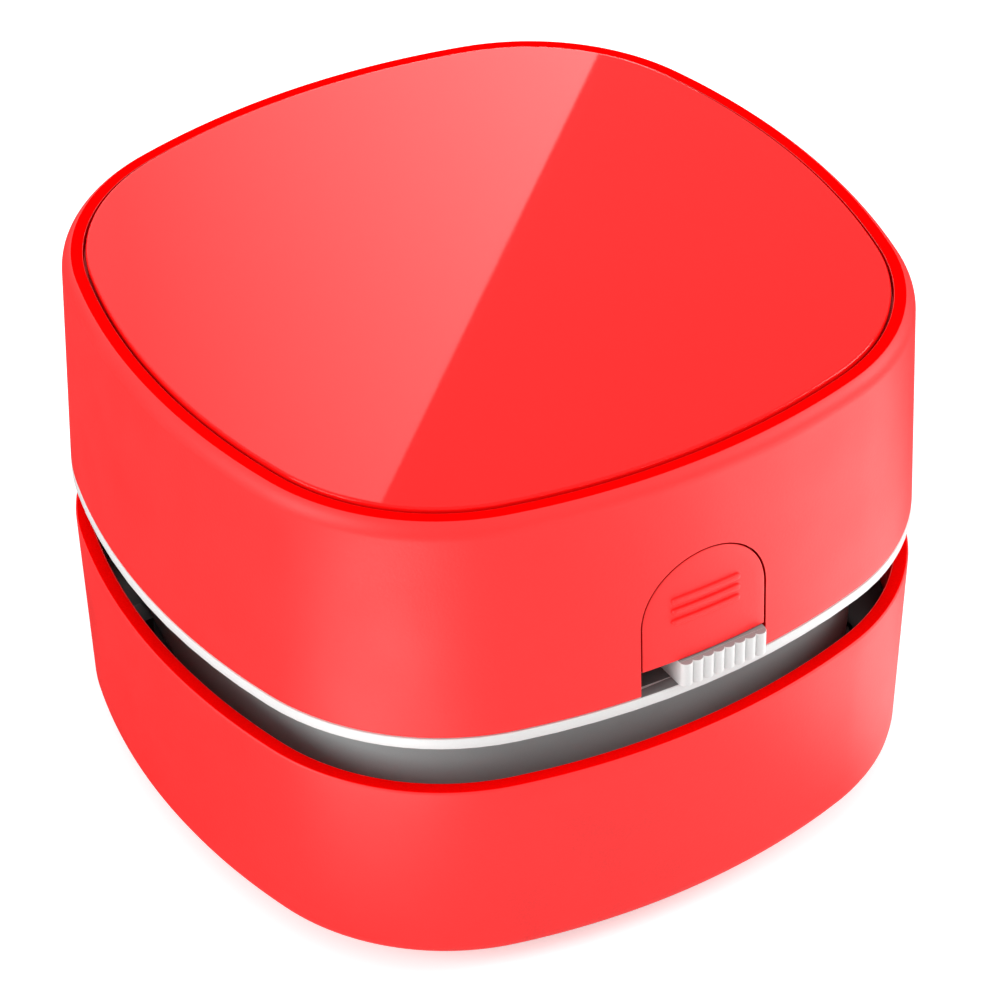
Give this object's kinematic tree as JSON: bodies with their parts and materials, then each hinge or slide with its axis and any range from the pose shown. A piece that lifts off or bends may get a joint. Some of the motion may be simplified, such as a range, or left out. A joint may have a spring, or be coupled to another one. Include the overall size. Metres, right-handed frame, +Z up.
{
  "type": "desktop mini vacuum cleaner",
  "caption": "Rounded-square two-tier desktop vacuum cleaner with open waist, push tab, slide switch, lift-off dust bin and bristle-ringed suction mouth.",
  "frame": {"origin": "middle of the outline, at the level of the bristle tips that the cleaner stands on", "axes": "+Z up; -Y towards the side with the push tab and the slide switch; +X to the right of that side"},
  "size_m": [0.085, 0.0858, 0.0608],
  "materials": {
    "red_shell": "satin fine-grained moulded plastic, bright red",
    "red_plate": "glossy moulded plastic, bright red",
    "white_plastic": "satin moulded plastic, white",
    "black_plastic": "fine-grained moulded plastic, black",
    "cream_plastic": "satin moulded plastic, cream",
    "bristle": "white nylon filament in a moulded white strip",
    "foam": "open-cell grey foam",
    "seal_rubber": "soft matt rubber, dark grey",
    "steel": "plain bright steel",
    "spring_steel": "drawn spring wire",
    "brass": "turned and stamped brass",
    "copper": "enamelled copper wire and turned copper",
    "ferrite": "sintered dark grey magnet",
    "core_iron": "stacked steel sheet",
    "cell_jacket": "plain printed grey jacket with bright ends",
    "laminate": "brown resin-bonded laminate",
    "lead_red": "soft red insulation",
    "lead_black": "soft black insulation"
  },
  "bodies": {
    "base_unit": {"lower_shell": "red_shell", "bin_deck": "black_plastic", "bin_deck_screws": "steel", "nozzle_insert": "black_plastic", "nozzle_screws": "steel", "brush_right": "bristle", "brush_rear": "bristle", "brush_left": "bristle", "brush_front": "bristle"},
    "main_unit": {"fan_housing": "white_plastic", "housing_screws": "steel", "filter_frame": "black_plastic", "filter_foam": "foam", "filter_seal": "seal_rubber", "chassis": "white_plastic", "motor_can": "steel", "motor_end_cap": "cream_plastic", "motor_magnets": "ferrite", "front_bush": "brass", "rear_bush": "brass", "motor_brushes": "copper", "motor_terminals": "brass", "motor_strap": "steel", "strap_screws": "steel", "front_cell": "cell_jacket", "rear_cell": "cell_jacket", "contact_plus": "steel", "contact_minus": "steel", "contact_bridge": "steel", "front_cell_spring": "spring_steel", "rear_cell_spring": "spring_steel", "switch_case": "steel", "switch_base": "laminate", "switch_pins": "brass", "lead_battery_plus": "lead_red", "lead_motor_plus": "lead_red", "lead_motor_minus": "lead_black"},
    "rotor": {"motor_shaft": "steel", "impeller": "black_plastic", "armature_core": "core_iron", "armature_coils": "copper", "commutator": "copper"},
    "knob": {"switch_slider": "black_plastic", "switch_knob": "white_plastic"},
    "top_cover": {"top_shell": "red_shell", "top_plate": "red_plate", "tab_spring": "spring_steel", "tab_retainer": "black_plastic", "retainer_screws": "steel"},
    "tab": {"push_tab": "red_shell"}
  },
  "joints": [
    {"name": "main_lift", "type": "slide", "parent": "base_unit", "child": "main_unit", "axis": [0, 0, 1], "range_m": [0, 0.03]},
    {"name": "rotor_spin", "type": "hinge", "parent": "main_unit", "child": "rotor", "pos_m": [0, 0, 0], "axis": [0, 0, 1], "continuous": true},
    {"name": "knob_slide", "type": "slide", "parent": "main_unit", "child": "knob", "axis": [-1, 0, 0], "range_m": [0, 0.004]},
    {"name": "cover_lift", "type": "slide", "parent": "main_unit", "child": "top_cover", "axis": [0, 0, 1], "range_m": [0, 0.035]},
    {"name": "tab_press", "type": "slide", "parent": "top_cover", "child": "tab", "axis": [0, 1, 0], "range_m": [0, 0.0016], "stiffness_N_per_m": 900, "springref_m": -0.0016, "deforming": ["tab_spring"]}
  ]
}
